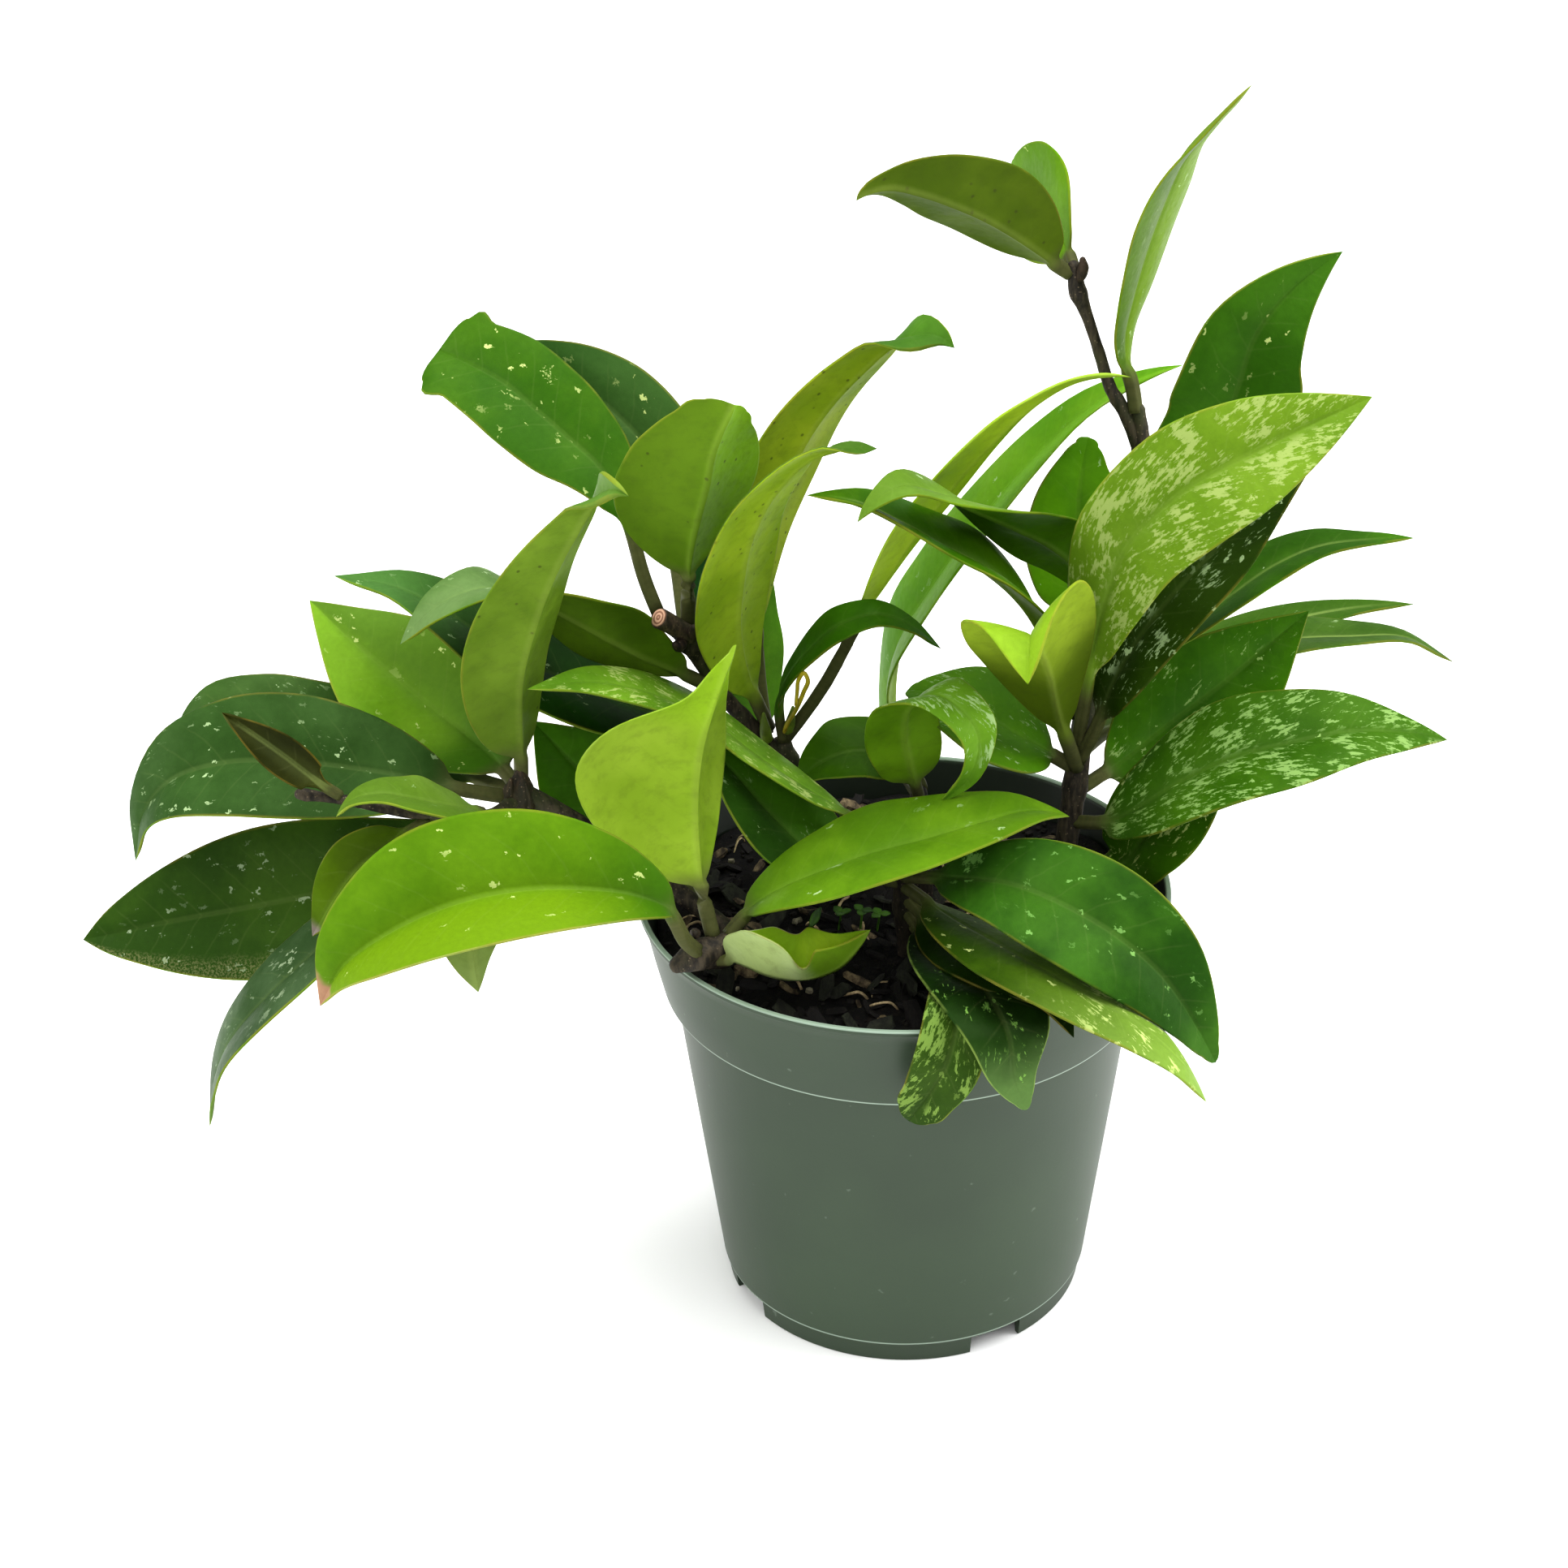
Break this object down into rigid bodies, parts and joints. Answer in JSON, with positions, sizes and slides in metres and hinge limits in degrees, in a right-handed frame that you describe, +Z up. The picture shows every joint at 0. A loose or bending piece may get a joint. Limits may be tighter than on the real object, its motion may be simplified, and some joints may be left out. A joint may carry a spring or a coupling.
{
  "type": "potted wax plant",
  "caption": "Trailing wax plant with long pointed waxy leaves on short woody stems, in a round ribless nursery pot with a stepped rim, filled with dark bark soil.",
  "frame": {"origin": "on the table, under the middle of the whole plant's bounding box", "axes": "+Z up; the plant shows itself towards -Y; +X is the viewer's right, along the plant's widest spread"},
  "size_m": [0.394, 0.1804, 0.356],
  "materials": {
    "pot": "satin grey-green",
    "soil": "dark crumbly bark compost",
    "bark": "rough brown bark",
    "leaf_dark": "waxy dark green",
    "leaf_mid": "waxy mid green",
    "leaf_bright": "waxy bright yellow-green",
    "leaf_pale": "waxy pale yellow-green",
    "leaf_splashed": "waxy green splashed with silver",
    "leaf_olive": "matt olive underside"
  },
  "bodies": {
    "root": {"stem_left": "bark", "stem_centre": "bark", "stem_back": "bark", "stem_right": "bark", "stem_front": "bark", "leaf_left_upright": "leaf_olive", "leaf_left_pale": "leaf_bright", "leaf_left_far_dark": "leaf_dark", "leaf_left_arched": "leaf_olive", "leaf_left_drooping": "leaf_dark", "leaf_left_behind": "leaf_dark", "leaf_left_young": "leaf_olive", "leaf_left_small": "leaf_bright", "leaf_left_low_dark": "leaf_dark", "leaf_left_hanging": "leaf_dark", "leaf_left_olive": "leaf_olive", "leaf_left_bright": "leaf_bright", "leaf_left_under": "leaf_olive", "leaf_left_shaded": "leaf_mid", "leaf_upper_lobed": "leaf_mid", "leaf_upper_behind": "leaf_dark", "leaf_upper_cupped": "leaf_olive", "leaf_upper_arched": "leaf_olive", "leaf_upper_tall": "leaf_olive", "leaf_upper_teal": "leaf_mid", "leaf_upper_green": "leaf_mid", "leaf_mid_strap_front": "leaf_olive", "leaf_mid_strap_back": "leaf_bright", "leaf_mid_glossy": "leaf_dark", "leaf_mid_arched": "leaf_mid", "leaf_mid_sickle": "leaf_mid", "leaf_mid_oval": "leaf_mid", "leaf_centre_keel": "leaf_pale", "leaf_centre_ring": "leaf_olive", "leaf_centre_round": "leaf_splashed", "leaf_centre_far": "leaf_mid", "leaf_centre_bright": "leaf_bright", "leaf_centre_boat": "leaf_pale", "leaf_centre_pale": "leaf_pale", "leaf_centre_splashed": "leaf_splashed", "leaf_centre_dark": "leaf_dark", "leaf_front_broad": "leaf_dark", "leaf_front_lime": "leaf_splashed", "leaf_front_olive": "leaf_mid", "leaf_front_hanging": "leaf_dark", "leaf_front_speckled": "leaf_splashed", "leaf_right_pale": "leaf_splashed", "leaf_right_dark_splashed": "leaf_dark", "leaf_right_upper": "leaf_dark", "leaf_right_narrow": "leaf_mid", "leaf_right_long": "leaf_dark", "leaf_right_hidden": "leaf_dark", "leaf_right_mid": "leaf_mid", "leaf_right_splashed": "leaf_splashed", "leaf_right_low": "leaf_dark", "leaf_top_left": "leaf_olive", "leaf_top_back": "leaf_bright", "leaf_top_spear": "leaf_mid", "pot": "pot", "soil": "soil"}
  },
  "joints": []
}
